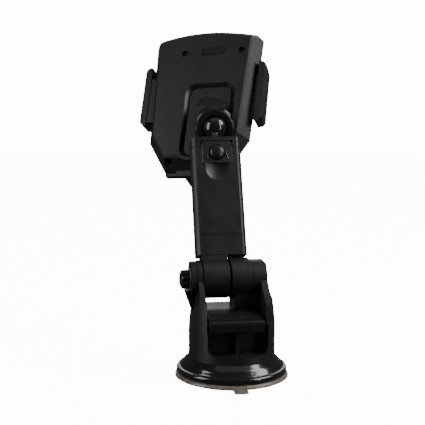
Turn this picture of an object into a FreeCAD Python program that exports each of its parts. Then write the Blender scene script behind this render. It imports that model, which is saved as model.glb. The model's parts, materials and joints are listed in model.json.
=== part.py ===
import FreeCAD, Part
import math
import os

# Car phone mount on a suction base. All lengths are millimetres.
# Origin at the centre of the suction face, +Z up, the phone faces -Y, the lock lever is on the +Y side.

V = FreeCAD.Vector
X, Y, Z = V(1, 0, 0), V(0, 1, 0), V(0, 0, 1)

# ---------------------------------------------------------------- driving dimensions

# suction base
PAD_R = 34.2            # gel pad
PAD_T = 2.6
CUP_R = 30.6            # flexible cup over the gel
DISC_R = 33.1           # glossy base ring
SKIRT_R = 25.9          # round lower part of the housing
SKIRT_Z = 12.3
STEM_R = 3.8

# base hinge, along X
HINGE_Y = -6.8
HINGE_Z = 57.4
HINGE_R = 11.3          # rounded top of the cheeks
LUG_R = 11.8            # rounded bottom of the arm's lug
BOSS_R = 10.8           # round boss on the cheek behind the knob
BOSS_END = 24.4
CHEEK_X = 20.8          # outer faces of the two cheeks
SLOT_LEFT = 18.0        # inner face of the cheek on the knob side
SLOT_RIGHT = -16.8
DECK_Z = 39.6           # floor of the yoke
DRUM_X = (-10.9, 1.6)   # toothed drum between the arm's lug and the thick cheek
DRUM_R = 12.2
LUG_END = 17.4          # knob side of the arm's lug
DRUM_FOOT_END = -1.4    # knob side of the block under the drum
FOOT_HALF_Y = 9.0
BOLT_R = 2.5
KNOB_X = (25.3, 30.6)
KNOB_R = 5.75

# lock lever
LEVER_Y = 4.5
LEVER_Z = 35.0
LEVER_HUB_R = 5.6
LEVER_X = (-14.4, 17.4)

# arm, in its own frame: x across, y towards the back, z along the arm from the hinge
ARM_X = 4.7             # the arm sits off the middle of the yoke
ARM_LEAN = 20.3         # degrees forward of upright at rest
SLEEVE_HALF = 15.4
SLEEVE_ROOM = 11.6      # half width of the sleeve's cavity
SLEEVE_DEPTH = 6.5      # half thickness
SLEEVE_BOTTOM = 13.4
SLEEVE_TOP = 80.9
CAP_TOP = 87.7
TONGUE_TOP = 84.9
SLIDER_TRAVEL = 42.0
BUTTON_S = 77.4
BUTTON_R = 4.8
BUTTON_TIP_R = 2.4

# ball joint
BALL_R = 8.0
BALL_X = -2.5           # ball centre in the arm's frame
BALL_B = -10.0
BALL_S = 99.4
NECK_R = 3.3

# cradle, in its own frame: x across, y towards the back (0 at the joint line of its two shells), z up
CRADLE_YAW = -29.8
CRADLE_PITCH = 26.0
CRADLE_ROLL = 3.3
TOP_HALF = 38.85
LOW_HALF = 35.4
SIDE_TOP = 38.4         # the straight sides run from here
SIDE_LOW = -35.8        # down to here
SHOULDER = 4.6
ARCH = 4.4
CORNER_DROP = 22.8
CORNER_RUN = 14.5
BACK_H = 9.9            # back face above the joint line
FACET = 5.6             # how far the side facets run in
LOW_FACET = 9.0
SHELL_T = 1.8
COVER_T = 3.0

# ball socket on the cradle
BALL_AT = V(-18.3, 21.5, -36.0)
SOCKET_TILT = 35.0      # degrees down from the back face's normal
SOCKET_YAW = 28.0       # degrees towards -X
CUP_OUT_R = 10.8
NUT_R = 13.4
NUT_SCALLOP_R = 3.6

# recess in the back shell around the socket
POCKET_U = (-25.5, 9.6)
POCKET_V = (-51.0, 3.0)
POCKET_FLOOR = 6.9
POCKET_CORNER = 7.0

# clamps
GRIP_V = (-24.0, 20.4)
PLATE_V = (-21.5, 11.5)
GRIP_IN = 38.6
GRIP_OUT = 43.8
PINION_V = -5.0
PINION_R = 6.0
PINION_TEETH = 12
ADDENDUM = 0.8
DEDENDUM = 1.1
TOOTH_W = 1.1           # tooth width on the pitch line
LAYERS = ((0.3, 2.1), (2.5, 4.3))    # the -X clamp runs in the first, the +X clamp in the second

# release button and foot
RELEASE_U = -7.0
RELEASE_V = 27.6
RELEASE_HALF = 8.1
FOOT_HALF = 20.5
FOOT_TOP = -58.9
FOOT_T = 1.8

SCREWS = ((13.6, 26.7), (-27.2, 26.9), (17.2, -52.9), (-17.2, -52.9))


# ---------------------------------------------------------------- shapes

def block(x0, x1, y0, y1, z0, z1):
    return Part.makeBox(x1 - x0, y1 - y0, z1 - z0, V(x0, y0, z0))


def rod(radius, start, direction, length):
    return Part.makeCylinder(radius, length, start, direction)


def rod_x(radius, x0, x1, y, z):
    return rod(radius, V(x0, y, z), X, x1 - x0)


def face_of(points):
    return Part.Face(Part.makePolygon(points + [points[0]]))


def prism(points, along):
    return face_of(points).extrude(along)


def turned(profile):
    """A solid of revolution about Z from (radius, height) points."""
    return face_of([V(r, 0, z) for r, z in profile]).revolve(V(0, 0, 0), Z, 360)


def aligned(shape, origin, axis):
    """Moves a shape made about +Z so that it stands at origin along axis."""
    moved = shape.copy()
    moved.Placement = FreeCAD.Placement(origin, FreeCAD.Rotation(Z, axis)).multiply(moved.Placement)
    return moved


def fused(first, *others):
    return first.fuse(list(others)).removeSplitter()


def cut(first, *others):
    return first.cut(list(others))


def near(edges, test):
    return [e for e in edges if test(e)]


def is_along(edge, axis):
    if not isinstance(edge.Curve, Part.Line):
        return False
    d = edge.tangentAt(edge.FirstParameter)
    return abs(abs(d.dot(axis)) - 1) < 1e-6


def rounded_rect(u0, u1, v0, v1, radius, place):
    """A rounded rectangle as a closed wire; place turns (u, v) into a point."""
    k = radius * (1 - math.sqrt(0.5))
    corners = ((u1, v1, -1, -1), (u0, v1, 1, -1), (u0, v0, 1, 1), (u1, v0, -1, 1))
    edges = []
    last = None
    first = None
    for i, (u, v, su, sv) in enumerate(corners):
        along_v = (u, v + sv * radius)
        along_u = (u + su * radius, v)
        start, end = (along_v, along_u) if i % 2 == 0 else (along_u, along_v)
        middle = (u + su * k, v + sv * k)
        if last is not None:
            edges.append(Part.makeLine(place(*last), place(*start)))
        else:
            first = start
        edges.append(Part.Arc(place(*start), place(*middle), place(*end)).toShape())
        last = end
    edges.append(Part.makeLine(place(*last), place(*first)))
    return Part.Wire(edges)


def lobed(radius, scallop_r, scallop_at, count, z0, z1):
    """A round grip with scallops cut along it."""
    body = rod(radius, V(0, 0, z0), Z, z1 - z0)
    cutters = []
    for i in range(count):
        a = 2 * math.pi * (i + 0.5) / count
        cutters.append(rod(scallop_r, V(scallop_at * math.cos(a), scallop_at * math.sin(a), z0 - 1), Z, z1 - z0 + 2))
    return cut(body, *cutters)


# ---------------------------------------------------------------- frames

ARM = FreeCAD.Placement(V(ARM_X, HINGE_Y, HINGE_Z), FreeCAD.Rotation(X, ARM_LEAN))
CRADLE_TURN = FreeCAD.Rotation(Z, CRADLE_YAW) * FreeCAD.Rotation(X, CRADLE_PITCH) * FreeCAD.Rotation(Y, CRADLE_ROLL)
BALL_WORLD = ARM.multVec(V(BALL_X, BALL_B, BALL_S))
CRADLE = FreeCAD.Placement(BALL_WORLD - CRADLE_TURN.multVec(BALL_AT), CRADLE_TURN)
LEVEL = math.cos(math.radians(SOCKET_TILT))
SOCKET_AXIS = V(-LEVEL * math.sin(math.radians(SOCKET_YAW)), LEVEL * math.cos(math.radians(SOCKET_YAW)),
                -math.sin(math.radians(SOCKET_TILT)))


def placed(shape, frame):
    moved = shape.copy()
    moved.Placement = frame.multiply(moved.Placement)
    return moved


parts = {}


def keep(name, shape, frame=None):
    if frame is not None:
        shape = placed(shape, frame)
    parts[name] = shape


# ---------------------------------------------------------------- suction base

def gel_pad():
    disc = turned([(0, 0), (PAD_R - 0.8, 0), (PAD_R, 0.9), (PAD_R, 1.5), (PAD_R - 0.7, PAD_T), (0, PAD_T)])
    tab = prism([V(-2.7, 30, 0), V(5.7, 30, 0), V(5.5, 38.6, 0), V(4.2, 40.9, 0), V(-1.2, 40.9, 0), V(-2.5, 38.6, 0)],
                V(0, 0, 1.3))
    return fused(disc, tab)


def suction_cup():
    return turned([(0, PAD_T), (CUP_R, PAD_T), (CUP_R, 3.4), (22, 5.4), (9, 6.6), (9, 9.6), (5.4, 9.6),
                   (5.4, 4.2), (0, 4.2)])


def base_ring():
    return turned([(31.3, 2.8), (32.6, 2.8), (DISC_R, 3.4), (DISC_R, 5.4), (32.5, 6.3), (30.9, 6.5), (30.7, 7.1),
                   (30.2, 7.6), (28.8, 9.6), (27.0, 11.2), (SKIRT_R, SKIRT_Z),
                   (23.4, SKIRT_Z), (23.4, 8.4), (29.8, 5.2)])


def cheek_profile():
    """Side view of the housing in the YZ plane: round skirt, rounded top at the hinge, lever side behind."""
    top = HINGE_Z
    left = V(0, -26.8, 27.0)
    tangent_front = V(0, HINGE_Y - HINGE_R, top)
    over = V(0, HINGE_Y, top + HINGE_R)
    tangent_back = V(0, HINGE_Y + HINGE_R, top)
    edges = [Part.makeLine(V(0, -26.8, SKIRT_Z), left),
             Part.makeLine(left, tangent_front),
             Part.Arc(tangent_front, over, tangent_back).toShape(),
             Part.makeLine(tangent_back, V(0, 12.0, 50.5)),
             Part.makeLine(V(0, 12.0, 50.5), V(0, 24.0, 42.6)),
             Part.makeLine(V(0, 24.0, 42.6), V(0, 26.8, 38.6)),
             Part.makeLine(V(0, 26.8, 38.6), V(0, 26.8, SKIRT_Z)),
             Part.makeLine(V(0, 26.8, SKIRT_Z), V(0, -26.8, SKIRT_Z))]
    return Part.Face(Part.Wire(edges))


def base_housing():
    body = rod(SKIRT_R, V(0, 0, SKIRT_Z), Z, 60)
    half = [V(SKIRT_R, -30, SKIRT_Z), V(SKIRT_R, -30, 27), V(CHEEK_X, -30, 52), V(CHEEK_X, -30, 67.0),
            V(CHEEK_X - 1.8, -30, 69)]
    front = prism(half + [V(-p.x, p.y, p.z) for p in reversed(half)], V(0, 60, 0))
    side = cheek_profile().extrude(V(60, 0, 0))
    side.translate(V(-30, 0, 0))
    body = body.common(front).common(side)

    knob_boss = rod_x(BOSS_R, CHEEK_X - 1, BOSS_END, HINGE_Y, HINGE_Z)
    gusset = prism([V(CHEEK_X - 1, HINGE_Y - 5.5, 38.5), V(23.4, HINGE_Y - 5.5, 38.5), V(27.3, HINGE_Y - 5.5, 49.6),
                    V(27.3, HINGE_Y - 5.5, 50.7), V(CHEEK_X - 1, HINGE_Y - 5.5, 50.7)], V(0, 11, 0))
    yoke = block(SLOT_RIGHT, SLOT_LEFT, -30, 30, DECK_Z, 80)
    hub_room = rod_x(LEVER_HUB_R + 0.5, SLOT_RIGHT, SLOT_LEFT, LEVER_Y, LEVER_Z)
    hub_slot = block(SLOT_RIGHT, SLOT_LEFT, LEVER_Y - LEVER_HUB_R - 0.4, LEVER_Y, LEVER_Z, DECK_Z + 1)
    lever_bay = block(SLOT_RIGHT, SLOT_LEFT, LEVER_Y, 30, 29.0, DECK_Z + 1)
    window_face = Part.Face(rounded_rect(-18.4, 17.7, 16.6, 50, 5.0, lambda u, v: V(u, 11.5, v)))
    window = window_face.extrude(V(0, 20, 0)).common(block(-30, 30, 0, 40, 0, 34))
    rib = block(-1.6, 0.4, 9.0, 15.0, 16.0, 29.5)
    well = rod(8.4, V(0, 0, SKIRT_Z - 1), Z, 15.8)
    stem_hole = rod(STEM_R + 0.3, V(0, 0, SKIRT_Z), Z, 20)
    body = cut(body, yoke, hub_room, hub_slot, lever_bay, window)
    thick_cheek = rod_x(HINGE_R, SLOT_RIGHT - 1, DRUM_X[0] - 0.3, HINGE_Y, HINGE_Z)
    cheek_foot = block(SLOT_RIGHT - 1, DRUM_X[0] - 0.3, HINGE_Y - FOOT_HALF_Y, HINGE_Y + FOOT_HALF_Y,
                       DECK_Z - 1, HINGE_Z)
    cheek_foot = cut(cheek_foot, hub_room)
    body = fused(body, knob_boss, gusset, thick_cheek, cheek_foot, rib)
    bolt_hole = rod_x(BOLT_R + 0.05, -30, 40, HINGE_Y, HINGE_Z)
    head_pocket = rod_x(6.4, -30, -CHEEK_X + 3.2, HINGE_Y, HINGE_Z)
    pin_hole = rod_x(1.65, -20.2, 19.2, LEVER_Y, LEVER_Z)
    return cut(body, well, stem_hole, bolt_hole, head_pocket, pin_hole)


def suction_stem():
    foot = rod(5.0, V(0, 0, 7.6), Z, 1.6)
    shaft = rod(STEM_R, V(0, 0, 9.2), Z, 19.4)
    flange = rod(6.6, V(0, 0, 13.0), Z, 1.4)
    return fused(foot, shaft, flange)


def stem_spring():
    wire_r = 0.45
    coil_r = 5.6
    height = 11.0
    half_turns = []
    for i in range(8):
        piece = Part.makeHelix(2.75, height / 8, coil_r)
        piece.rotate(V(0, 0, 0), Z, 180 * i)
        piece.translate(V(0, 0, height / 8 * i))
        half_turns.extend(piece.Edges)
    section = Part.Wire(Part.makeCircle(wire_r, V(coil_r, 0, 0), Y))
    coil = Part.Wire(half_turns).makePipeShell([section], True, True)
    coil.translate(V(0, 0, 15.0))
    return coil


def lock_lever():
    x0, x1 = LEVER_X
    hub = rod_x(LEVER_HUB_R, x0, x1, LEVER_Y, LEVER_Z)
    slope = 0.1256
    plate = prism([V(x0, LEVER_Y, 40.6), V(x0, 24.4, 38.1), V(x0, 25.2, 37.4), V(x0, 25.5, 35.7), V(x0, 25.2, 31.9),
                   V(x0, 24.6, 31.0), V(x0, 23.4, 31.3), V(x0, 22.4, 34.3), V(x0, 9.0, 36.0), V(x0, LEVER_Y, 36.4)],
                  V(x1 - x0, 0, 0))
    notch = block(-3.6, 1.6, 2.0, 7.4, 39.0, 42)
    grooves = []
    for y in (11.0, 14.6, 18.2):
        top = 40.6 - slope * (y - LEVER_Y)
        grooves.append(block(x0 + 2, x1 - 2, y, y + 1.2, top - 0.5, 42))
    pin_hole = rod_x(1.65, x0 - 1, x1 + 1, LEVER_Y, LEVER_Z)
    return cut(fused(hub, plate), notch, pin_hole, *grooves)


def hinge_drum():
    x0, x1 = DRUM_X
    drum = rod_x(DRUM_R, x0, x1 - 1.0, HINGE_Y, HINGE_Z)
    foot = block(x0, DRUM_FOOT_END, HINGE_Y - FOOT_HALF_Y, HINGE_Y + FOOT_HALF_Y, DECK_Z, HINGE_Z)
    foot = cut(foot, rod_x(LEVER_HUB_R + 0.5, x0 - 1, x1, LEVER_Y, LEVER_Z))
    teeth = []
    for i in range(24):
        a = 2 * math.pi * i / 24
        rib = block(x1 - 1.0, x1, -0.55, 0.55, 5.0, 10.6)
        rib.rotate(V(0, 0, 0), X, math.degrees(a))
        rib.translate(V(0, HINGE_Y, HINGE_Z))
        teeth.append(rib)
    bore = rod_x(BOLT_R + 0.05, x0 - 1, x1 + 1, HINGE_Y, HINGE_Z)
    return cut(fused(drum, foot, *teeth), bore)


def hinge_disc():
    x0, x1 = LUG_END + 0.05, SLOT_LEFT - 0.05
    ring = rod_x(9.0, x0, x1, HINGE_Y, HINGE_Z)
    return cut(ring, rod_x(BOLT_R + 0.05, x0 - 1, x1 + 1, HINGE_Y, HINGE_Z))


def hinge_bolt():
    head_x = -CHEEK_X + 1.1
    shank = rod_x(BOLT_R, head_x + 1.8, KNOB_X[1] - 2.4, HINGE_Y, HINGE_Z)
    hexagon = []
    for i in range(6):
        a = math.radians(60 * i)
        hexagon.append(V(head_x, HINGE_Y + 5.2 * math.cos(a), HINGE_Z + 5.2 * math.sin(a)))
    return fused(shank, prism(hexagon, V(2.0, 0, 0)))


def bolt_cap():
    return rod_x(6.3, -CHEEK_X - 0.5, -CHEEK_X + 0.9, HINGE_Y, HINGE_Z)


def hinge_washer():
    ring = rod_x(6.4, BOSS_END, BOSS_END + 0.6, HINGE_Y, HINGE_Z)
    return cut(ring, rod_x(BOLT_R + 0.05, BOSS_END - 1, BOSS_END + 2, HINGE_Y, HINGE_Z))


def hinge_knob():
    length = KNOB_X[1] - KNOB_X[0]
    body = lobed(KNOB_R, 1.6, KNOB_R + 0.8, 10, 0, length)
    dome = turned([(0, -1), (KNOB_R + 1, -1), (KNOB_R + 1, length - 2.6), (KNOB_R - 0.5, length - 0.9),
                   (KNOB_R - 2.0, length), (0, length)])
    body = body.common(dome)
    bore = rod(4.0, V(0, 0, -1), Z, length - 1.2)
    return aligned(cut(body, bore), V(KNOB_X[0], HINGE_Y, HINGE_Z), X)


def knob_insert():
    length = KNOB_X[1] - KNOB_X[0] - 2.2
    body = rod(4.0, V(0, 0, 0), Z, length)
    return aligned(cut(body, rod(BOLT_R + 0.05, V(0, 0, -1), Z, length + 2)), V(KNOB_X[0], HINGE_Y, HINGE_Z), X)


# ---------------------------------------------------------------- arm, in its own frame

def arm_knuckle():
    """Lug on the knob side of the drum, and the neck that fills the bottom of the sleeve."""
    lug_x = (DRUM_X[1] + 0.3 - ARM_X, LUG_END - ARM_X)
    lug = rod_x(LUG_R, lug_x[0], lug_x[1], 0, 0)
    shank = block(lug_x[0], lug_x[1], -6.2, 6.2, 0, SLEEVE_BOTTOM)
    tenon = block(-SLEEVE_ROOM + 0.1, SLEEVE_ROOM - 0.1, -3.75, 3.75, 12.9, 30)
    bore = rod_x(BOLT_R + 0.05, -30, 30, 0, 0)
    sockets = []
    for i in range(24):
        rib = block(lug_x[0] - 0.1, lug_x[0] + 0.25, -0.4, 0.4, 5.0, 10.6)
        rib.rotate(V(0, 0, 0), X, 15.0 * i + 7.5)
        sockets.append(rib)
    return cut(fused(lug, shank, tenon), bore, *sockets)


def sleeve_section(front):
    """Half of the sleeve's cross section in the XY plane; the back half has wide chamfers."""
    w = SLEEVE_HALF
    d = SLEEVE_DEPTH
    k = SLEEVE_ROOM
    if front:
        outer = [V(-w, 0, 0), V(-w, -d + 2.0, 0), V(-w + 0.6, -d + 0.6, 0), V(-w + 2.0, -d, 0),
                 V(w - 2.0, -d, 0), V(w - 0.6, -d + 0.6, 0), V(w, -d + 2.0, 0), V(w, 0, 0)]
        inner = [V(k, 0, 0), V(k, -3.8, 0), V(-k, -3.8, 0), V(-k, 0, 0)]
    else:
        outer = [V(w, 0, 0), V(w, d - 2.6, 0), V(w - 0.5, d - 1.9, 0), V(w - 1.9, d - 0.4, 0), V(w - 2.8, d, 0),
                 V(-w + 2.8, d, 0), V(-w + 1.9, d - 0.4, 0), V(-w + 0.5, d - 1.9, 0), V(-w, d - 2.6, 0), V(-w, 0, 0)]
        inner = [V(-k, 0, 0), V(-k, 3.8, 0), V(k, 3.8, 0), V(k, 0, 0)]
    return outer + inner


def sleeve_half(front):
    points = sleeve_section(front)
    body = prism(points, V(0, 0, SLEEVE_TOP - SLEEVE_BOTTOM))
    body.translate(V(0, 0, SLEEVE_BOTTOM))
    return body


def arm_sleeve_back():
    body = sleeve_half(False)
    place = lambda u, v: V(u, 3.8, v)
    tongue = Part.Face(rounded_rect(-9.4, 9.4, 60, TONGUE_TOP, 2.0, place)).extrude(V(0, SLEEVE_DEPTH - 3.8, 0))
    tongue = tongue.common(block(-20, 20, 0, 10, SLEEVE_TOP - 1, 100))
    panel_low = rounded_rect(-9.6, 9.6, 68.9, TONGUE_TOP, 3.4, lambda u, v: V(u, SLEEVE_DEPTH, v))
    panel_high = rounded_rect(-9.0, 9.0, 69.6, TONGUE_TOP - 0.6, 3.0, lambda u, v: V(u, SLEEVE_DEPTH + 0.7, v))
    panel = Part.makeLoft([panel_low, panel_high], True, True)
    body = fused(body, tongue, panel)
    scoop = Part.makeSphere(17.0, V(0, SLEEVE_DEPTH + 15.3, 67.0))
    button_hole = rod(BUTTON_R + 0.3, V(0, 0, BUTTON_S), Y, 20)
    line = block(-20, 20, SLEEVE_DEPTH - 0.35, 20, 25.4, 25.9)
    return cut(body, button_hole, scoop.common(block(-9, 9, 0, 20, 60, BUTTON_S - 6.6)), line)


def arm_sleeve_front():
    body = sleeve_half(True)
    seats = [rod(2.0, V(u, -SLEEVE_DEPTH - 1, s), Y, 2.4) for u, s in SLEEVE_SCREWS]
    through = [rod(1.05, V(u, -SLEEVE_DEPTH, s), Y, SLEEVE_DEPTH + 0.2) for u, s in SLEEVE_SCREWS]
    return cut(body, *(seats + through))


SLEEVE_SCREWS = ((-13.3, 22.0), (13.3, 22.0), (-13.3, 73.5), (13.3, 73.5))


def screw(head_r, head_h, shank_r, length):
    """A small pan-head screw about +Z: the head's top is at z = head_h, the shank goes down."""
    head = turned([(0, 0), (head_r, 0), (head_r, head_h * 0.6), (head_r * 0.8, head_h), (0, head_h)])
    shank = rod(shank_r, V(0, 0, -length), Z, length)
    cross = [block(-head_r * 0.6, head_r * 0.6, -0.22, 0.22, head_h * 0.45, head_h + 1),
             block(-0.22, 0.22, -head_r * 0.6, head_r * 0.6, head_h * 0.45, head_h + 1)]
    return cut(fused(head, shank), *cross)


def sleeve_screws():
    one = screw(1.85, 1.0, 1.0, 4.6)
    return Part.makeCompound([aligned(one, V(u, -SLEEVE_DEPTH + 1.4, s), V(0, -1, 0)) for u, s in SLEEVE_SCREWS])


def arm_slider():
    bar = block(-SLEEVE_ROOM + 0.4, SLEEVE_ROOM - 0.4, -3.5, 3.5, 31.0, SLEEVE_TOP + 2)
    groove = block(-4.2, 4.2, 1.2, 6, BUTTON_S - SLIDER_TRAVEL - BUTTON_TIP_R - 0.6, SLEEVE_TOP - 0.2)
    notches = [block(-3.0, 3.0, 0.2, 2, 41.0 + 6.0 * i, 43.6 + 6.0 * i) for i in range(7)]
    return cut(bar, groove, *notches)


def arm_cap():
    """End cap of the telescoping bar, the same section as the sleeve, notched for the sleeve's button tongue."""
    w, d = SLEEVE_HALF, SLEEVE_DEPTH
    section = sleeve_section(True)[:8] + sleeve_section(False)[:10]
    unique = []
    for p in section:
        if not unique or (p - unique[-1]).Length > 1e-6:
            unique.append(p)
    if (unique[0] - unique[-1]).Length < 1e-6:
        unique.pop()
    body = prism(unique, V(0, 0, CAP_TOP - SLEEVE_TOP - 0.3))
    body.translate(V(0, 0, SLEEVE_TOP + 0.3))
    crown = prism([V(-w, 0, SLEEVE_TOP), V(w, 0, SLEEVE_TOP), V(w, 0, CAP_TOP - 1.6), V(w - 1.6, 0, CAP_TOP),
                   V(-w + 1.6, 0, CAP_TOP), V(-w, 0, CAP_TOP - 1.6)], V(0, 20, 0))
    crown.translate(V(0, -10, 0))
    body = body.common(crown)
    notch = block(-9.95, 9.95, 3.45, 20, SLEEVE_TOP - 1, TONGUE_TOP + 0.4)
    bar_room = block(-SLEEVE_ROOM + 0.35, SLEEVE_ROOM - 0.35, -3.55, 3.55, SLEEVE_TOP - 1, SLEEVE_TOP + 2.05)
    neck_hole = neck_rod(0.0)
    return cut(body, notch, bar_room, neck_hole)


def neck_rod(grow):
    foot = V(0, -3.4, CAP_TOP - 2.1)
    ball = V(BALL_X, BALL_B, BALL_S)
    return rod(NECK_R + grow, foot, ball - foot, (ball - foot).Length)


def ball_stud():
    ball = Part.makeSphere(BALL_R, V(BALL_X, BALL_B, BALL_S))
    return fused(ball, neck_rod(0.0))


def lock_button():
    head = turned([(0, 0), (BUTTON_R, 0), (BUTTON_R, 2.4), (4.45, 3.3), (3.7, 4.0), (2.6, 4.55),
                   (1.3, 4.8), (0, 4.85)])
    tip = rod(BUTTON_TIP_R, V(0, 0, -2.3), Z, 2.4)
    return aligned(fused(head, tip), V(0, 5.1, BUTTON_S), Y)


# ---------------------------------------------------------------- cradle, in its own frame

def inset_corners(corners, insets):
    """Corners of a convex outline after each edge has moved inwards by its own distance."""
    count = len(corners)
    lines = []
    for i in range(count):
        (x0, y0), (x1, y1) = corners[i], corners[(i + 1) % count]
        length = math.hypot(x1 - x0, y1 - y0)
        nx, ny = (y1 - y0) / length, -(x1 - x0) / length
        if nx * (x0 + x1) + ny * (y0 + y1) < 0:
            nx, ny = -nx, -ny
        lines.append((nx, ny, nx * x0 + ny * y0 - insets[i]))
    result = []
    for i in range(count):
        a1, b1, c1 = lines[i - 1]
        a2, b2, c2 = lines[i]
        det = a1 * b2 - a2 * b1
        result.append(((c1 * b2 - c2 * b1) / det, (a1 * c2 - a2 * c1) / det))
    return result


def outline(inset, low_inset, h, shoulder=SHOULDER):
    """Closed outline of the cradle in the plane y = h: arched top, straight sides, cut lower corners."""
    top = SIDE_TOP + SHOULDER
    low = SIDE_LOW - CORNER_DROP
    half = [(TOP_HALF - shoulder, top), (TOP_HALF, top - shoulder), (LOW_HALF, SIDE_LOW),
            (LOW_HALF - CORNER_RUN, low)]
    corners = half + [(-x, y) for x, y in reversed(half)]
    insets = [inset, inset, inset, low_inset, inset, inset, inset, inset]
    moved = [V(x, h, y) for x, y in inset_corners(corners, insets)]
    edges = [Part.makeLine(moved[i], moved[i + 1]) for i in range(7)]
    edges.append(Part.Arc(moved[7], V(0, h, top + ARCH - inset), moved[0]).toShape())
    return Part.Wire(edges)


def pocket(grow, floor, top):
    """The recess around the socket, with sloping walls."""
    slope = (top - floor) * 0.75
    low = rounded_rect(POCKET_U[0] + slope - grow, POCKET_U[1] - slope + grow, POCKET_V[0] + slope - grow,
                       POCKET_V[1] - slope + grow, POCKET_CORNER - slope * 0.5, lambda u, v: V(u, floor, v))
    high = rounded_rect(POCKET_U[0] - grow, POCKET_U[1] + grow, POCKET_V[0] - grow, POCKET_V[1] + grow,
                        POCKET_CORNER, lambda u, v: V(u, top, v))
    return Part.makeLoft([low, high], True, True)


def clamp_layer(side):
    return LAYERS[1] if side > 0 else LAYERS[0]


def cradle_back():
    outer = Part.makeLoft([outline(0, 0, 0), outline(FACET - 0.6, LOW_FACET - 0.8, BACK_H - 0.9),
                           outline(FACET + 0.7, LOW_FACET + 0.8, BACK_H)], True, True)
    inner = Part.makeLoft([outline(SHELL_T, SHELL_T, -0.1, 6.5),
                           outline(FACET + 0.8, LOW_FACET + 0.8, BACK_H - SHELL_T, 6.5)], True, True)
    shell = cut(outer, inner)
    tub = pocket(1.3, POCKET_FLOOR - 1.5, BACK_H - 0.5)
    bosses = []
    for u, v in SCREWS:
        bosses.append(rod(3.3, V(u, 0.2, v), Y, 9.0).common(outer))
    shell = fused(shell, tub, *bosses)
    shell = cut(shell, pocket(0.0, POCKET_FLOOR, BACK_H + 0.02))
    cutters = []
    for (u, v), seat in zip(SCREWS, SCREW_SEATS):
        cutters.append(rod(1.15, V(u, -1, v), Y, 20))
        cutters.append(rod(2.25, V(u, seat, v), Y, 20))
    for side in (1, -1):
        x0, x1 = sorted((side * 24.0, side * 45.0))
        h0, h1 = clamp_layer(side)
        cutters.append(block(x0, x1, h0 - 0.4, h1 + 0.3, PLATE_V[0] - 0.4, PLATE_V[1] + 0.4))
    room = RELEASE_HALF + 0.3
    window = Part.Face(rounded_rect(RELEASE_U - room, RELEASE_U + room, RELEASE_V - 2.8, RELEASE_V + 2.8, 1.6,
                                    lambda u, v: V(u, 5, v))).extrude(V(0, 10, 0))
    cutters.append(window)
    cutters.append(block(-13.4, 13.4, -0.2, 1.9, FOOT_TOP - 4, FOOT_TOP + 8))
    return cut(shell, *cutters)


SCREW_SEATS = (7.6, 7.6, 2.6, 2.6)


def cradle_screws():
    one = screw(2.05, 1.1, 1.05, 2.4)
    return Part.makeCompound([aligned(one, V(u, seat, v), Y) for (u, v), seat in zip(SCREWS, SCREW_SEATS)])


def cradle_front():
    plate = Part.makeLoft([outline(0.0, 0.0, 0.0), outline(0.2, 0.2, -COVER_T + 1.0),
                           outline(1.3, 1.3, -COVER_T)], True, True)
    post = rod(2.2, V(0, -0.5, PINION_V), Y, 5.3)
    guides = [block(-24, 24, -0.5, 4.7, PLATE_V[1] + 0.4, PLATE_V[1] + 1.8),
              block(-24, 24, -0.5, 4.7, PLATE_V[0] - 1.8, PLATE_V[0] - 0.4)]
    pad_seat = Part.Face(rounded_rect(-25.2, 25.2, -42.2, 32.2, 6.2, lambda u, v: V(u, -COVER_T - 1, v)))
    return cut(fused(plate, post, *guides), pad_seat.extrude(V(0, 1.8, 0)))


def front_pad():
    low = rounded_rect(-25, 25, -42, 32, 6.0, lambda u, v: V(u, -COVER_T + 0.8, v))
    high = rounded_rect(-25, 25, -42, 32, 6.0, lambda u, v: V(u, -COVER_T - 0.7, v))
    tip = rounded_rect(-24.3, 24.3, -41.3, 31.3, 5.3, lambda u, v: V(u, -COVER_T - 1.3, v))
    body = Part.makeLoft([low, high, tip], True, True)
    grooves = [block(-20, 20, -5, -COVER_T - 0.8, -36 + 8.0 * i, -34.6 + 8.0 * i) for i in range(9)]
    return cut(body, *grooves)


def rack_tooth(u, pitch_v, toward, layer):
    """One straight-sided rack tooth; toward is the sign of v that its tip points to."""
    h0, h1 = layer
    root_v = pitch_v - toward * (DEDENDUM + 0.05)
    tip_v = pitch_v + toward * ADDENDUM
    wide = TOOTH_W / 2 + 0.3
    thin = TOOTH_W / 2 - 0.25
    return prism([V(u - wide, h0, root_v), V(u + wide, h0, root_v), V(u + thin, h0, tip_v), V(u - thin, h0, tip_v)],
                 V(0, h1 - h0, 0))


def clamp_slider(side):
    """Sliding plate with its rack. side is +1 for the +X clamp, whose rack is over the pinion, -1 for the other."""
    h0, h1 = clamp_layer(side)
    x0, x1 = sorted((side * 16.0, side * GRIP_IN))
    plate = block(x0, x1, h0, h1, *PLATE_V)
    pitch_v = PINION_V + side * PINION_R
    back_v = PINION_V + side * (PINION_R + 5.0)
    root_v = pitch_v + side * DEDENDUM
    b0, b1 = sorted((side * 16.5, -side * 15.0))
    v0, v1 = sorted((root_v, back_v))
    bar = block(b0, b1, h0, h1, v0, v1)
    pitch = 2 * math.pi * PINION_R / PINION_TEETH
    teeth = [rack_tooth(i * pitch, pitch_v, -side, (h0, h1)) for i in range(-4, 5)]
    slot = block(*sorted((side * 21.0, side * 32.0)), h0 - 1, h1 + 1, PINION_V - 3.5, PINION_V + 3.5)
    return cut(fused(plate, bar, *teeth), slot)


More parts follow.
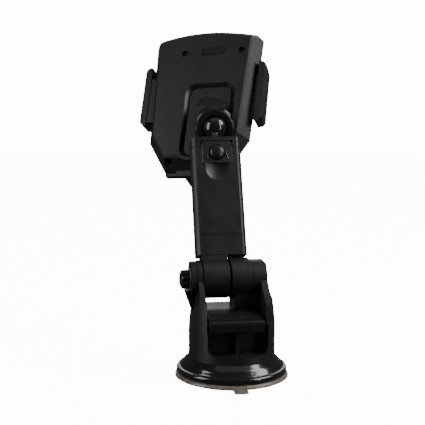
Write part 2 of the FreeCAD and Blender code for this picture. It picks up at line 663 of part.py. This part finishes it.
def pinion():
    """Spur gear on the cover's post, meshing with both racks."""
    h0, h1 = LAYERS[0][0], LAYERS[1][1]
    body = rod(PINION_R - DEDENDUM, V(0, h0, PINION_V), Y, h1 - h0)
    teeth = []
    for i in range(PINION_TEETH):
        root = PINION_R - DEDENDUM - 0.4
        tip = PINION_R + ADDENDUM
        wide = TOOTH_W / 2 + 0.3
        thin = TOOTH_W / 2 - 0.25
        tooth = prism([V(-wide, h0, root), V(wide, h0, root), V(thin, h0, tip), V(-thin, h0, tip)], V(0, h1 - h0, 0))
        tooth.rotate(V(0, 0, 0), Y, 360.0 * (i + 0.5) / PINION_TEETH)
        tooth.translate(V(0, 0, PINION_V))
        teeth.append(tooth)
    bore = rod(2.25, V(0, h0 - 1, PINION_V), Y, 10)
    return cut(fused(body, *teeth), bore)


GRIP_FACE = ((38.4, -4.8), (36.4, -17.3))


def clamp_grip(side):
    (fx0, fh0), (fx1, fh1) = GRIP_FACE
    section = [(GRIP_IN, 4.8), (GRIP_OUT - 1.6, 4.8), (GRIP_OUT - 0.4, 4.3), (GRIP_OUT, 3.1),
               (GRIP_OUT - 2.0, -7.5), (40.0, -18.2), (39.4, -19.9), (38.4, -20.6), (36.2, -20.4), (34.4, -19.6),
               (34.2, -18.6), (34.8, -17.9), (fx1, fh1), (fx0, fh0), (GRIP_IN, -3.6)]
    body = prism([V(side * x, h, GRIP_V[0]) for x, h in section], V(0, 0, GRIP_V[1] - GRIP_V[0]))
    # seen from the back: round upper outer corner, cut lower outer corner
    v0, v1 = GRIP_V
    arc = Part.Arc(V(side * GRIP_OUT, -30, v1 - 4.5), V(side * (GRIP_OUT - 1.4), -30, v1 - 1.3),
                   V(side * (GRIP_OUT - 4.6), -30, v1)).toShape()
    edges = [arc,
             Part.makeLine(V(side * (GRIP_OUT - 4.6), -30, v1), V(side * 30, -30, v1)),
             Part.makeLine(V(side * 30, -30, v1), V(side * 30, -30, v0)),
             Part.makeLine(V(side * 30, -30, v0), V(side * (GRIP_OUT - 3.0), -30, v0)),
             Part.makeLine(V(side * (GRIP_OUT - 3.0), -30, v0), V(side * GRIP_OUT, -30, v0 + 3.4)),
             Part.makeLine(V(side * GRIP_OUT, -30, v0 + 3.4), V(side * GRIP_OUT, -30, v1 - 4.5))]
    silhouette = Part.Face(Part.Wire(edges)).extrude(V(0, 60, 0))
    chin = prism([V(side * 30, -6, v0), V(side * 30, -22, v0 + 10.5), V(side * 30, -22, v0 - 1),
                  V(side * 30, -6, v0 - 1)], V(side * 20, 0, 0))
    return cut(body.common(silhouette), chin)


def grip_pad(side):
    (fx0, fh0), (fx1, fh1) = GRIP_FACE
    t = 0.06

    def on_face(k, out):
        return V(side * (fx0 + (fx1 - fx0) * k - out), fh0 + (fh1 - fh0) * k, -13.5)

    body = prism([on_face(t, 0), on_face(1 - t, 0), on_face(1 - t, 1.3), on_face(t, 1.3)], V(0, 0, 32.0))
    grooves = []
    for i in range(7):
        v = -10.4 + 4.0 * i
        x0, x1 = sorted((side * 30.0, side * (fx1 - 0.9)))
        grooves.append(block(x0, x1, -20, 0, v, v + 1.1))
        x0, x1 = sorted((side * 30.0, side * (fx0 - 1.0)))
        grooves.append(block(x0, x1, -10.5, 0, v, v + 1.1))
    return cut(body, *grooves)


def release_button():
    u0, u1 = RELEASE_U - RELEASE_HALF, RELEASE_U + RELEASE_HALF
    cap = Part.Face(rounded_rect(u0, u1, RELEASE_V - 2.5, RELEASE_V + 2.5, 1.3,
                                 lambda u, v: V(u, 3.5, v))).extrude(V(0, BACK_H + 0.3 - 3.5, 0))
    flange = block(u0 - 1.4, u1 + 1.4, 5.4, 6.8, RELEASE_V - 3.8, RELEASE_V + 3.8)
    return fused(cap, flange)


def bottom_foot():
    """Bar under the body, a tapered ledge in front of it, two lips at the ledge's end and a tongue into the body."""
    low = FOOT_TOP - FOOT_T
    tongue = block(-13, 13, 0.3, 1.6, low, FOOT_TOP + 20.0)
    bar = block(-FOOT_HALF, FOOT_HALF, -3.0, 1.6, low, FOOT_TOP)
    ledge = prism([V(-8, -2.5, low), V(8, -2.5, low), V(9, -19.5, low), V(-9, -19.5, low)], V(0, 0, FOOT_T))
    window = Part.Face(rounded_rect(-2.6, 2.6, -16.0, -6.0, 1.6, lambda u, h: V(u, h, low - 1))).extrude(V(0, 0, 10))
    lips = [block(x, x + 7.0, -19.5, -17.2, low, FOOT_TOP + 6.0) for x in (-9.0, 2.0)]
    lips = [lip.makeFillet(1.0, near(lip.Edges, lambda e: is_along(e, Y) and e.BoundBox.ZMin > FOOT_TOP + 5))
            for lip in lips]
    return fused(cut(ledge, window), bar, tongue, *lips)


def foot_pads():
    pads = [block(x, x + 4.0, -16.6, -6.0, FOOT_TOP, FOOT_TOP + 1.2) for x in (-7.4, 3.4)]
    return Part.makeCompound(pads)


def socket_frame(shape):
    return aligned(shape, BALL_AT, SOCKET_AXIS)


def ball_socket():
    """Flange in the recess and the tilted cup that takes the ball."""
    stub = socket_frame(rod(CUP_OUT_R, V(0, 0, -40), Z, 40.4))
    stub = stub.common(block(-60, 60, POCKET_FLOOR, 60, -80, 40))
    slope = 2.6
    plate_low = rounded_rect(POCKET_U[0] + slope + 0.6, POCKET_U[1] - slope - 0.6, POCKET_V[0] + slope + 0.6,
                             POCKET_V[1] - slope - 0.6, 4.6, lambda u, v: V(u, POCKET_FLOOR, v))
    plate = Part.Face(plate_low).extrude(V(0, 1.2, 0))
    ramp = prism([V(-21.0, POCKET_FLOOR, -44), V(-21.0, POCKET_FLOOR, -2.0), V(-21.0, 8.8, -2.0),
                  V(-21.0, 14.0, -16.0), V(-21.0, 14.0, -26.0), V(-21.0, 9.0, -36.0)], V(20.5, 0, 0))
    ramp = ramp.common(socket_frame(rod(14.5, V(0, 0, -40), Z, 33.2)))
    cavity = socket_frame(Part.makeSphere(BALL_R + 1.05, V(0, 0, 0)))
    seat = socket_frame(rod(CUP_OUT_R - 0.85, V(0, 0, -3.3), Z, 10))
    return cut(fused(stub, plate, ramp), cavity, seat)


def ball_liner():
    outer = Part.makeSphere(BALL_R + 1.0, V(0, 0, 0))
    inner = Part.makeSphere(BALL_R + 0.05, V(0, 0, 0))
    reach = math.radians(48.0)
    cone = Part.makeCone(0.0, 20 * math.tan(reach), 20, V(0, 0, 0), V(0, 0, -1))
    return socket_frame(cut(outer, inner).common(cone))


def socket_ring():
    ring = cut(rod(CUP_OUT_R - 0.95, V(0, 0, -3.0), Z, 3.3), Part.makeSphere(BALL_R + 1.05, V(0, 0, 0)))
    return socket_frame(ring)


def collar_nut():
    """Lobed nut on the cup; its lip holds the ball in."""
    body = lobed(NUT_R, NUT_SCALLOP_R, NUT_R + NUT_SCALLOP_R - 1.5, 8, -5.0, 3.0)
    envelope = turned([(0, -5.0), (NUT_R - 1.8, -5.0), (NUT_R + 0.1, -2.6), (NUT_R + 0.1, 1.2), (NUT_R - 0.9, 2.4),
                       (NUT_R - 2.2, 3.0), (0, 3.0)])
    body = body.common(envelope)
    bore = rod(CUP_OUT_R + 0.08, V(0, 0, -6), Z, 6.7)
    ball = Part.makeSphere(BALL_R + 0.08, V(0, 0, 0))
    mouth = Part.makeCone(7.4, 9.6, 2.0, V(0, 0, 1.9), Z)
    return socket_frame(cut(body, bore, ball, mouth))


# ---------------------------------------------------------------- build

keep("gel_pad", gel_pad())
keep("suction_cup", suction_cup())
keep("base_ring", base_ring())
keep("base_housing", base_housing())
keep("suction_stem", suction_stem())
keep("stem_spring", stem_spring())
keep("lock_lever", lock_lever())
keep("lever_pin", rod_x(1.6, -20.0, 19.0, LEVER_Y, LEVER_Z))
keep("hinge_drum", hinge_drum())
keep("hinge_disc", hinge_disc())
keep("hinge_bolt", hinge_bolt())
keep("bolt_cap", bolt_cap())
keep("hinge_washer", hinge_washer())
keep("hinge_knob", hinge_knob())
keep("knob_insert", knob_insert())

for name, make in (("arm_knuckle", arm_knuckle), ("arm_sleeve_back", arm_sleeve_back),
                   ("arm_sleeve_front", arm_sleeve_front), ("sleeve_screws", sleeve_screws),
                   ("arm_slider", arm_slider), ("arm_cap", arm_cap), ("ball_stud", ball_stud),
                   ("lock_button", lock_button)):
    keep(name, make(), ARM)

for name, make in (("cradle_back", cradle_back), ("cradle_front", cradle_front), ("front_pad", front_pad),
                   ("cradle_screws", cradle_screws), ("pinion", pinion), ("release_button", release_button),
                   ("bottom_foot", bottom_foot), ("foot_pads", foot_pads), ("ball_socket", ball_socket),
                   ("ball_liner", ball_liner), ("socket_ring", socket_ring), ("collar_nut", collar_nut)):
    keep(name, make(), CRADLE)

for side, word in ((1, "left"), (-1, "right")):
    keep(word + "_slider", clamp_slider(side), CRADLE)
    keep(word + "_grip", clamp_grip(side), CRADLE)
    keep(word + "_grip_pad", grip_pad(side), CRADLE)

os.makedirs("parts", exist_ok=True)
for name, shape in parts.items():
    if not shape.isValid():
        raise ValueError(name + " is not a valid solid")
    shape.exportStep("parts/" + name + ".step")
    print(name, len(shape.Solids), round(shape.Volume))
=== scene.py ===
import json
import math

import bmesh
import bpy
from mathutils import Matrix, Vector


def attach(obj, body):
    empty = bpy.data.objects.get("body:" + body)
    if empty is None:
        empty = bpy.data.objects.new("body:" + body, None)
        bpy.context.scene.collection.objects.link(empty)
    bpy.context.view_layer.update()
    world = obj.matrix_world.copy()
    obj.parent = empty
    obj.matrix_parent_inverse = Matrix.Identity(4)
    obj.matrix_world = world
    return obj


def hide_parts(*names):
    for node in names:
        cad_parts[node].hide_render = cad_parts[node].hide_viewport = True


# Looks of a black car phone mount on a suction base. Metres, in the CAD frame.

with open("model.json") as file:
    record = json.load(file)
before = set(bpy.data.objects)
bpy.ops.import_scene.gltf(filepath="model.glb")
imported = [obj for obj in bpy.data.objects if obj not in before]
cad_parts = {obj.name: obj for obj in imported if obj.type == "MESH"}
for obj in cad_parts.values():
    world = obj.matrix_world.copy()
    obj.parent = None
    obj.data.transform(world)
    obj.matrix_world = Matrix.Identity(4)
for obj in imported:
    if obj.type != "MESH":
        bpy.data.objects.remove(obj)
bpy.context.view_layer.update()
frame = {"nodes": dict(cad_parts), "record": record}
nodes = frame["nodes"]
MM = 0.001


# ---------------------------------------------------------------- node material helpers

class Shader:
    """A material with a Principled shader, and short ways to add nodes to it."""

    def __init__(self, name, colour, roughness, metallic=0.0):
        self.material = bpy.data.materials.new(name)
        self.material.use_nodes = True
        self.tree = self.material.node_tree
        self.out = self.tree.nodes["Principled BSDF"]
        self.out.inputs["Base Color"].default_value = (*colour, 1)
        self.out.inputs["Roughness"].default_value = roughness
        self.out.inputs["Metallic"].default_value = metallic
        self.place = self.tree.nodes.new("ShaderNodeTexCoord").outputs["Object"]

    def link(self, source, target):
        self.tree.links.new(source, target)

    def noise(self, scale, detail=3.0, rough=0.55, stretch=None):
        node = self.tree.nodes.new("ShaderNodeTexNoise")
        node.inputs["Scale"].default_value = scale
        node.inputs["Detail"].default_value = detail
        node.inputs["Roughness"].default_value = rough
        source = self.place
        if stretch is not None:
            mapping = self.tree.nodes.new("ShaderNodeMapping")
            mapping.inputs["Scale"].default_value = stretch
            self.link(self.place, mapping.inputs["Vector"])
            source = mapping.outputs["Vector"]
        self.link(source, node.inputs["Vector"])
        return node.outputs["Fac"]

    def cells(self, scale):
        node = self.tree.nodes.new("ShaderNodeTexVoronoi")
        node.inputs["Scale"].default_value = scale
        self.link(self.place, node.inputs["Vector"])
        return node.outputs["Distance"]

    def ranged(self, value, low, high, to_low, to_high):
        node = self.tree.nodes.new("ShaderNodeMapRange")
        numbers = {"From Min": low, "From Max": high, "To Min": to_low, "To Max": to_high}
        for socket, number in numbers.items():
            node.inputs[socket].default_value = number
        self.link(value, node.inputs["Value"])
        return node.outputs["Result"]

    def math(self, operation, first, second):
        node = self.tree.nodes.new("ShaderNodeMath")
        node.operation = operation
        for socket, value in zip(node.inputs, (first, second)):
            if isinstance(value, (int, float)):
                socket.default_value = value
            else:
                self.link(value, socket)
        return node.outputs["Value"]

    def mixed(self, factor, first, second):
        node = self.tree.nodes.new("ShaderNodeMix")
        node.data_type = "RGBA"
        self.link(factor, node.inputs["Factor"])
        for socket, value in ((node.inputs[6], first), (node.inputs[7], second)):
            if isinstance(value, tuple):
                socket.default_value = (*value, 1)
            else:
                self.link(value, socket)
        return node.outputs[2]

    def edges(self, radius, gain):
        """A mask that is bright along edges and dark on flat faces."""
        bevel = self.tree.nodes.new("ShaderNodeBevel")
        bevel.samples = 4
        bevel.inputs["Radius"].default_value = radius
        geometry = self.tree.nodes.new("ShaderNodeNewGeometry")
        dot = self.tree.nodes.new("ShaderNodeVectorMath")
        dot.operation = "DOT_PRODUCT"
        self.link(bevel.outputs["Normal"], dot.inputs[0])
        self.link(geometry.outputs["Normal"], dot.inputs[1])
        return self.ranged(dot.outputs["Value"], 1.0, 1.0 - gain, 0.0, 1.0)

    def bump(self, height, distance, strength=1.0):
        node = self.tree.nodes.new("ShaderNodeBump")
        node.inputs["Distance"].default_value = distance
        node.inputs["Strength"].default_value = strength
        self.link(height, node.inputs["Height"])
        previous = self.out.inputs["Normal"].links
        if previous:
            self.link(previous[0].from_socket, node.inputs["Normal"])
        self.link(node.outputs["Normal"], self.out.inputs["Normal"])

    def colour(self, socket):
        self.link(socket, self.out.inputs["Base Color"])

    def roughness(self, socket):
        self.link(socket, self.out.inputs["Roughness"])


def plastic(name, dark, light, rough_low, rough_high, grain, wear=0.35):
    """Moulded plastic: fine spark-eroded grain, faint cloudiness, lighter rubbed edges."""
    s = Shader(name, dark, rough_high)
    cloud = s.noise(45, 4)
    fine = s.noise(grain, 2)
    base = s.mixed(s.ranged(cloud, 0.3, 0.7, 0.0, 1.0), dark, light)
    rubbed = s.math("MULTIPLY", s.edges(0.0004, 0.25), s.ranged(s.noise(300, 3), 0.35, 0.75, 0.0, wear))
    s.colour(s.mixed(rubbed, base, (0.07, 0.07, 0.074)))
    smear = s.noise(90, 5, 0.6, (1, 1, 0.35))
    s.roughness(s.ranged(smear, 0.3, 0.72, rough_low, rough_high))
    s.bump(fine, 0.00004, 0.55)
    s.out.inputs["IOR"].default_value = 1.47
    return s.material


def gloss(name, dark, light):
    """Polished plastic with wipe marks and fine dust."""
    s = Shader(name, dark, 0.12)
    dust = s.ranged(s.noise(2200, 2), 0.62, 0.78, 0.0, 0.5)
    s.colour(s.mixed(dust, s.mixed(s.noise(40, 3), dark, light), (0.05, 0.05, 0.052)))
    wipe = s.noise(70, 6, 0.65, (1, 1, 4))
    s.roughness(s.ranged(wipe, 0.3, 0.75, 0.10, 0.26))
    s.bump(s.noise(260, 2), 0.00002, 0.3)
    s.out.inputs["Coat Weight"].default_value = 0.35
    s.out.inputs["Coat Roughness"].default_value = 0.08
    return s.material


def rubber(name, dark, light, grain=1400):
    """Matt rubber with a powdery bloom and a pebbled surface."""
    s = Shader(name, dark, 0.8)
    bloom = s.ranged(s.noise(120, 5), 0.4, 0.75, 0.0, 1.0)
    s.colour(s.mixed(bloom, dark, light))
    s.roughness(s.ranged(s.noise(200, 3), 0.3, 0.7, 0.66, 0.86))
    s.bump(s.cells(grain), 0.00006, 0.5)
    s.out.inputs["Sheen Weight"].default_value = 0.15
    s.out.inputs["Sheen Roughness"].default_value = 0.5
    return s.material


def gel(name):
    """Translucent tacky gel: smoky, soft gloss, with specks of dust caught in it."""
    s = Shader(name, (0.20, 0.165, 0.14), 0.28)
    specks = s.ranged(s.noise(1300, 2), 0.64, 0.74, 0.0, 0.8)
    body = s.mixed(s.ranged(s.noise(60, 4), 0.3, 0.7, 0.0, 1.0), (0.15, 0.122, 0.105), (0.27, 0.225, 0.19))
    s.colour(s.mixed(specks, body, (0.5, 0.46, 0.42)))
    s.roughness(s.ranged(s.noise(150, 4), 0.3, 0.7, 0.2, 0.42))
    s.bump(s.noise(500, 3), 0.00005, 0.4)
    s.out.inputs["Subsurface Weight"].default_value = 0.35
    s.out.inputs["Subsurface Radius"].default_value = (0.004, 0.003, 0.002)
    s.out.inputs["Subsurface Scale"].default_value = 1.0
    return s.material


def metal(name, colour, stain, rough_low, rough_high, stretch):
    """Machined metal: turning lines and slight tarnish."""
    s = Shader(name, colour, rough_high, 1.0)
    s.colour(s.mixed(s.ranged(s.noise(220, 4), 0.4, 0.75, 0.0, 0.7), colour, stain))
    lines = s.noise(600, 3, 0.6, stretch)
    s.roughness(s.ranged(lines, 0.3, 0.7, rough_low, rough_high))
    s.bump(lines, 0.00002, 0.4)
    return s.material


LOOKS = {
    "black_plastic": plastic("housing_plastic", (0.0118, 0.0108, 0.0098), (0.0165, 0.0152, 0.0140),
                             0.34, 0.50, 2400),
    "cradle_plastic": plastic("cradle_plastic", (0.0115, 0.0110, 0.0103), (0.0160, 0.0153, 0.0146),
                              0.36, 0.50, 2800),
    "knob_plastic": plastic("knob_plastic", (0.0102, 0.0095, 0.0088), (0.0148, 0.0138, 0.0130),
                            0.26, 0.40, 2000, 0.5),
    "gloss_plastic": gloss("gloss_plastic", (0.008, 0.008, 0.009), (0.012, 0.012, 0.013)),
    "pad_rubber": rubber("pad_rubber", (0.018, 0.018, 0.019), (0.032, 0.032, 0.033)),
    "cup_rubber": rubber("cup_rubber", (0.020, 0.019, 0.018), (0.034, 0.032, 0.031), 900),
    "gel": gel("gel"),
    "steel": metal("steel", (0.56, 0.57, 0.58), (0.30, 0.28, 0.26), 0.22, 0.40, (1, 8, 8)),
    "brass": metal("brass", (0.62, 0.46, 0.20), (0.34, 0.23, 0.10), 0.24, 0.42, (1, 8, 8)),
}

SLOT_OF = {part["node"]: part["material_slot"] for part in frame["record"]["subparts"]}


def dress(node, width=0.00028, segments=2):
    """Gives a CAD node its material and softens its sharp edges."""
    piece = nodes[node]
    material = LOOKS[SLOT_OF[node]]
    if not piece.material_slots:
        piece.data.materials.append(material)
    for holder in piece.material_slots:
        holder.material = material
    weld = piece.modifiers.new("weld", "WELD")
    weld.merge_threshold = 0.000002
    if width:
        bevel = piece.modifiers.new("soft_edges", "BEVEL")
        bevel.width = width
        bevel.segments = segments
        bevel.limit_method = "ANGLE"
        bevel.angle_limit = math.radians(32)
        bevel.harden_normals = False
    normals = piece.modifiers.new("normals", "WEIGHTED_NORMAL")
    normals.keep_sharp = True


DARK_SCREW = metal("blackened_screw", (0.030, 0.030, 0.032), (0.055, 0.050, 0.045), 0.34, 0.55, (1, 4, 4))

for node in nodes:
    dress(node)
for node in ("cradle_screws", "sleeve_screws"):
    for holder in nodes[node].material_slots:
        holder.material = DARK_SCREW


# ---------------------------------------------------------------- frames of the moving parts

JOINTS = {joint["name"]: joint for joint in frame["record"]["behaviour"]["joints"]}
HEAD_U = Vector(JOINTS["left_clamp_slide"]["axis"])
HEAD_H = -Vector(JOINTS["head_button_press"]["axis"])
HEAD_V = -Vector(JOINTS["foot_slide"]["axis"])
HEAD_ORIGIN = Vector(JOINTS["gear_turn"]["pos_m"]) - HEAD_H * 2.5 * MM + HEAD_V * 5.0 * MM
ARM_ORIGIN = Vector(JOINTS["arm_tilt"]["pos_m"])
ARM_S = Vector(JOINTS["arm_extend"]["axis"])
ARM_B = -Vector(JOINTS["arm_button_press"]["axis"])
ARM_A = Vector((1, 0, 0))


def on_head(u, h, v):
    """A point in millimetres in the cradle's own frame."""
    return HEAD_ORIGIN + (HEAD_U * u + HEAD_H * h + HEAD_V * v) * MM


def on_arm(a, b, s):
    return ARM_ORIGIN + (ARM_A * a + ARM_B * b + ARM_S * s) * MM


# ---------------------------------------------------------------- soft pieces

def smooth(low, high, value):
    t = min(max((value - low) / (high - low), 0.0), 1.0)
    return t * t * (3 - 2 * t)


def steps(half, count, edge=1.2):
    """Positions from -half to half, closer together near the two edges."""
    inner = [-half + edge + (2 * half - 2 * edge) * i / count for i in range(count + 1)]
    rim = [half - edge * (1 - math.sin(math.pi / 2 * k / 6)) for k in range(1, 7)]
    return [-x for x in reversed(rim)] + inner + rim


def finished(name, build, material, body, replaced):
    bmesh.ops.recalc_face_normals(build, faces=build.faces)
    mesh = bpy.data.meshes.new(name)
    build.to_mesh(mesh)
    build.free()
    for face in mesh.polygons:
        face.use_smooth = True
    mesh.materials.append(material)
    piece = bpy.data.objects.new(name, mesh)
    bpy.context.scene.collection.objects.link(piece)
    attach(piece, body)
    if replaced:
        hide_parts(replaced)
    return piece


def moulded_pad(build, half_a, half_b, corner, thick, crown, groove, place):
    """A soft pad with rounded corners and edges, a slight crown and moulded cross channels.

    groove is (pitch, width, depth, margin); place turns (a, b, height) in millimetres into a point."""
    pitch, width, depth, margin = groove
    count_b = int(2 * half_b / (width / 4))
    rows = []
    edge = min(0.9, thick)
    for b0 in steps(half_b, count_b):
        row = []
        for a0 in steps(half_a, 24):
            a, b = a0, b0
            over_a, over_b = abs(a) - (half_a - corner), abs(b) - (half_b - corner)
            if over_a > 0 and over_b > 0:
                x, y = over_a / corner, over_b / corner
                x, y = x * math.sqrt(1 - y * y / 2), y * math.sqrt(1 - x * x / 2)
                inside = corner * (1 - min(math.hypot(x, y), 1.0))
                a = math.copysign(half_a - corner + x * corner, a)
                b = math.copysign(half_b - corner + y * corner, b)
            else:
                inside = min(half_a - abs(a), half_b - abs(b))
            lift = math.sqrt(max(1 - (1 - min(inside / edge, 1.0)) ** 2, 0.0))
            bulge = crown * (1 - (a / half_a) ** 2) * (1 - (b / half_b) ** 2)
            phase = abs((b / pitch + 0.5) % 1.0 - 0.5) * pitch
            channel = depth * (1 - smooth(width * 0.25, width * 0.75, phase))
            channel *= smooth(margin * 0.6, margin, inside)
            row.append(build.verts.new(place(a, b, (thick - crown) * lift + bulge * lift - channel)))
        rows.append(row)
    for low, high in zip(rows, rows[1:]):
        for i in range(len(low) - 1):
            build.faces.new((low[i], low[i + 1], high[i + 1], high[i]))
    rim = rows[0] + [row[-1] for row in rows[1:]] + rows[-1][-2::-1] + [row[0] for row in rows[-2:0:-1]]
    build.faces.new(rim)


RUBBER = LOOKS["pad_rubber"]
CUSHION_H = -2.22           # the front cushion's seat in the cover, in millimetres like all below
CUSHION_MIDDLE_V = -5.0
GRIP_FACE_U = 37.4          # middle of a grip's inner face, which slopes in towards its lip
GRIP_FACE_H = -11.05
GRIP_SLOPE = (-0.158, -0.987)
GRIP_MIDDLE_V = 2.5
FOOT_PAD_U = 5.4
FOOT_PAD_H = -11.3
FOOT_TOP_V = -58.9

build = bmesh.new()
moulded_pad(build, 24.9, 36.9, 6.0, 2.05, 0.25, (8.0, 1.5, 0.55, 4.5),
            lambda a, b, t: on_head(a, CUSHION_H - t, CUSHION_MIDDLE_V + b))
finished("front_cushion", build, RUBBER, "cradle", "front_pad")


def on_grip(side, a, b, t):
    """A point on the inner face of the left (+1) or right (-1) grip."""
    across = GRIP_FACE_U + GRIP_SLOPE[0] * a - t
    return on_head(side * across, GRIP_FACE_H + GRIP_SLOPE[1] * a, GRIP_MIDDLE_V + b)


for side, word in ((1, "left"), (-1, "right")):
    build = bmesh.new()
    moulded_pad(build, 5.5, 15.9, 1.6, 1.28, 0.2, (4.0, 1.1, 0.5, 1.7),
                lambda a, b, t, side=side: on_grip(side, a, b, t))
    piece = finished(word + "_grip_cushion", build, RUBBER, word + "_clamp", word + "_grip_pad")

build = bmesh.new()
for middle in (-FOOT_PAD_U, FOOT_PAD_U):
    moulded_pad(build, 1.95, 5.25, 0.8, 1.18, 0.15, (1.5, 0.6, 0.3, 0.8),
                lambda a, b, t, middle=middle: on_head(middle + a, FOOT_PAD_H + b, FOOT_TOP_V + t))
finished("foot_cushions", build, RUBBER, "foot", "foot_pads")


def gel_disc(build):
    """Sticky gel disc with a soft rim, a slightly uneven edge and a pull tab at the back."""
    radius, tab_reach, tab_middle, tab_half = 34.2, 40.8, math.radians(87.7), math.radians(6.2)
    angles = [2 * math.pi * i / 240 for i in range(240)]
    for sign in (-1, 1):
        angles += [tab_middle + sign * (tab_half + math.radians(0.35 * k)) for k in range(-5, 6)]
    angles = sorted(set(angles))
    depths = [0.0, 0.1, 0.25, 0.45, 0.7, 1.0, 1.3, 2.0, 3.0, 4.2, 6.4, 8.0, 12.0, 20.0]
    tops, bottoms = [], []
    for angle in angles:
        wave = 0.10 * math.sin(5 * angle + 0.6) + 0.06 * math.sin(13 * angle)
        tab = smooth(-0.9, 0.9, math.degrees(tab_half - abs(angle - tab_middle)))
        reach = radius - 0.12 + wave * (1 - tab) + (tab_reach - radius) * tab
        top, bottom = [], []
        for depth in depths:
            r = reach - depth
            half = 0.65 + 0.65 * (1 - smooth(radius - 1.4, radius + 0.4, r))
            side = math.sqrt(max(half * half - max(half - depth, 0.0) ** 2, 0.0))
            x, y = r * math.cos(angle) * MM, r * math.sin(angle) * MM
            top.append(build.verts.new((x, y, (half + side) * MM)))
            bottom.append(top[0] if depth == 0.0 else build.verts.new((x, y, (half - side) * MM)))
        tops.append(top)
        bottoms.append(bottom)
    for ring in (tops, bottoms):
        for i in range(len(angles)):
            here, there = ring[i], ring[(i + 1) % len(angles)]
            for k in range(len(depths) - 1):
                build.faces.new((here[k], there[k], there[k + 1], here[k + 1]))
        build.faces.new([column[-1] for column in ring])


build = bmesh.new()
gel_disc(build)
finished("gel_disc", build, LOOKS["gel"], "base", "gel_pad")


# ---------------------------------------------------------------- small moulded details

def ridge(build, points, radii, sides=10):
    """A tapered tube through points."""
    rings = []
    for i, point in enumerate(points):
        ahead = (points[min(i + 1, len(points) - 1)] - points[max(i - 1, 0)]).normalized()
        across = ahead.cross(Vector((0.3, 0.2, 0.9))).normalized()
        up = ahead.cross(across)
        ring = []
        for k in range(sides):
            turn = 2 * math.pi * k / sides
            outward = across * math.cos(turn) + up * math.sin(turn)
            ring.append(build.verts.new(point + outward * radii[i] * MM))
        rings.append(ring)
    for low, high in zip(rings, rings[1:]):
        for k in range(sides):
            build.faces.new((low[k], low[(k + 1) % sides], high[(k + 1) % sides], high[k]))
    build.faces.new(rings[0])
    build.faces.new(rings[-1])


build = bmesh.new()
for side in (-1, 1):
    path = []
    thickness = []
    for k in range(17):
        t = k / 16
        away = 5.4 + 0.5 * t + 3.0 * t ** 3
        depth = 7.15 - 0.5 * smooth(0.75, 1.0, t)
        path.append(on_arm(side * away, depth, 79.0 - 8.2 * t))
        thickness.append(0.12 + 0.42 * math.sin(math.pi * min(t + 0.08, 1.0)))
    ridge(build, path, thickness)
finished("button_ridges", build, LOOKS["gloss_plastic"], "arm", None)


# ---------------------------------------------------------------- studio

def studio():
    floor_mesh = bpy.data.meshes.new("floor")
    build = bmesh.new()
    bmesh.ops.create_circle(build, cap_ends=True, segments=96, radius=3.0)
    build.to_mesh(floor_mesh)
    build.free()
    floor = bpy.data.objects.new("floor", floor_mesh)
    bpy.context.scene.collection.objects.link(floor)
    s = Shader("pale_floor", (0.9, 0.9, 0.9), 0.6)
    s.colour(s.mixed(s.noise(6, 4), (0.90, 0.90, 0.90), (0.93, 0.93, 0.93)))
    s.bump(s.noise(80, 4), 0.0002, 0.1)
    s.out.inputs["Emission Color"].default_value = (1, 1, 1, 1)
    s.out.inputs["Emission Strength"].default_value = 13.0
    floor_mesh.materials.append(s.material)
    floor.location.z = -0.0002
    floor.visible_glossy = False
    floor.visible_diffuse = False

    world = bpy.data.worlds.new("studio")
    bpy.context.scene.world = world
    world.use_nodes = True
    tree = world.node_tree
    background = tree.nodes["Background"]
    background.inputs["Color"].default_value = (0.95, 0.97, 1.0, 1)
    background.inputs["Strength"].default_value = 0.06
    seen = tree.nodes.new("ShaderNodeBackground")
    seen.inputs["Color"].default_value = (1, 1, 1, 1)
    seen.inputs["Strength"].default_value = 14.0
    path = tree.nodes.new("ShaderNodeLightPath")
    choose = tree.nodes.new("ShaderNodeMixShader")
    tree.links.new(path.outputs["Is Camera Ray"], choose.inputs["Fac"])
    tree.links.new(background.outputs["Background"], choose.inputs[1])
    tree.links.new(seen.outputs["Background"], choose.inputs[2])
    tree.links.new(choose.outputs["Shader"], tree.nodes["World Output"].inputs["Surface"])


def soft_light(name, azimuth, elevation, distance, size, power, aim):
    """A rectangular soft box round the object; azimuth 0 stands on -Y."""
    data = bpy.data.lights.new(name, "AREA")
    data.shape = "RECTANGLE"
    data.size = size[0]
    data.size_y = size[1]
    data.energy = power
    light = bpy.data.objects.new(name, data)
    a, e = math.radians(azimuth), math.radians(elevation)
    back = Vector((math.sin(a) * math.cos(e), -math.cos(a) * math.cos(e), math.sin(e)))
    light.location = aim + back * distance
    light.rotation_mode = "QUATERNION"
    light.rotation_quaternion = (-back).to_track_quat("-Z", "Y")
    bpy.context.scene.collection.objects.link(light)


def camera(azimuth, elevation, roll, target, distance, lens):
    data = bpy.data.cameras.new("camera")
    data.sensor_width = 36.0
    data.lens = lens
    view = bpy.data.objects.new("camera", data)
    a, e = math.radians(azimuth), math.radians(elevation)
    back = Vector((math.sin(a) * math.cos(e), -math.cos(a) * math.cos(e), math.sin(e)))
    turn = (-back).to_track_quat("-Z", "Y").to_matrix().to_4x4()
    view.matrix_world = Matrix.Translation(target + back * distance) @ turn @ Matrix.Rotation(roll, 4, "Z")
    data.clip_start = 0.01
    bpy.context.scene.collection.objects.link(view)
    bpy.context.scene.camera = view


studio()
middle = Vector((0.005, -0.04, 0.11))
soft_light("left", 104, 14, 0.9, (0.35, 0.9), 5.2, middle)
soft_light("right_strip", 226, 14, 0.9, (0.07, 0.9), 3.0, middle)
soft_light("right_high", 252, 40, 1.0, (0.4, 0.6), 7.0, middle)
soft_light("top", 178, 82, 0.8, (0.8, 0.6), 0.5, middle)
soft_light("front", 350, 30, 1.0, (0.8, 0.8), 2.6, middle)
camera(170.36, 6.49, math.radians(0.25), Vector((0.0120, 0, 0.0982)), 0.5222, 886 / 425 * 36)
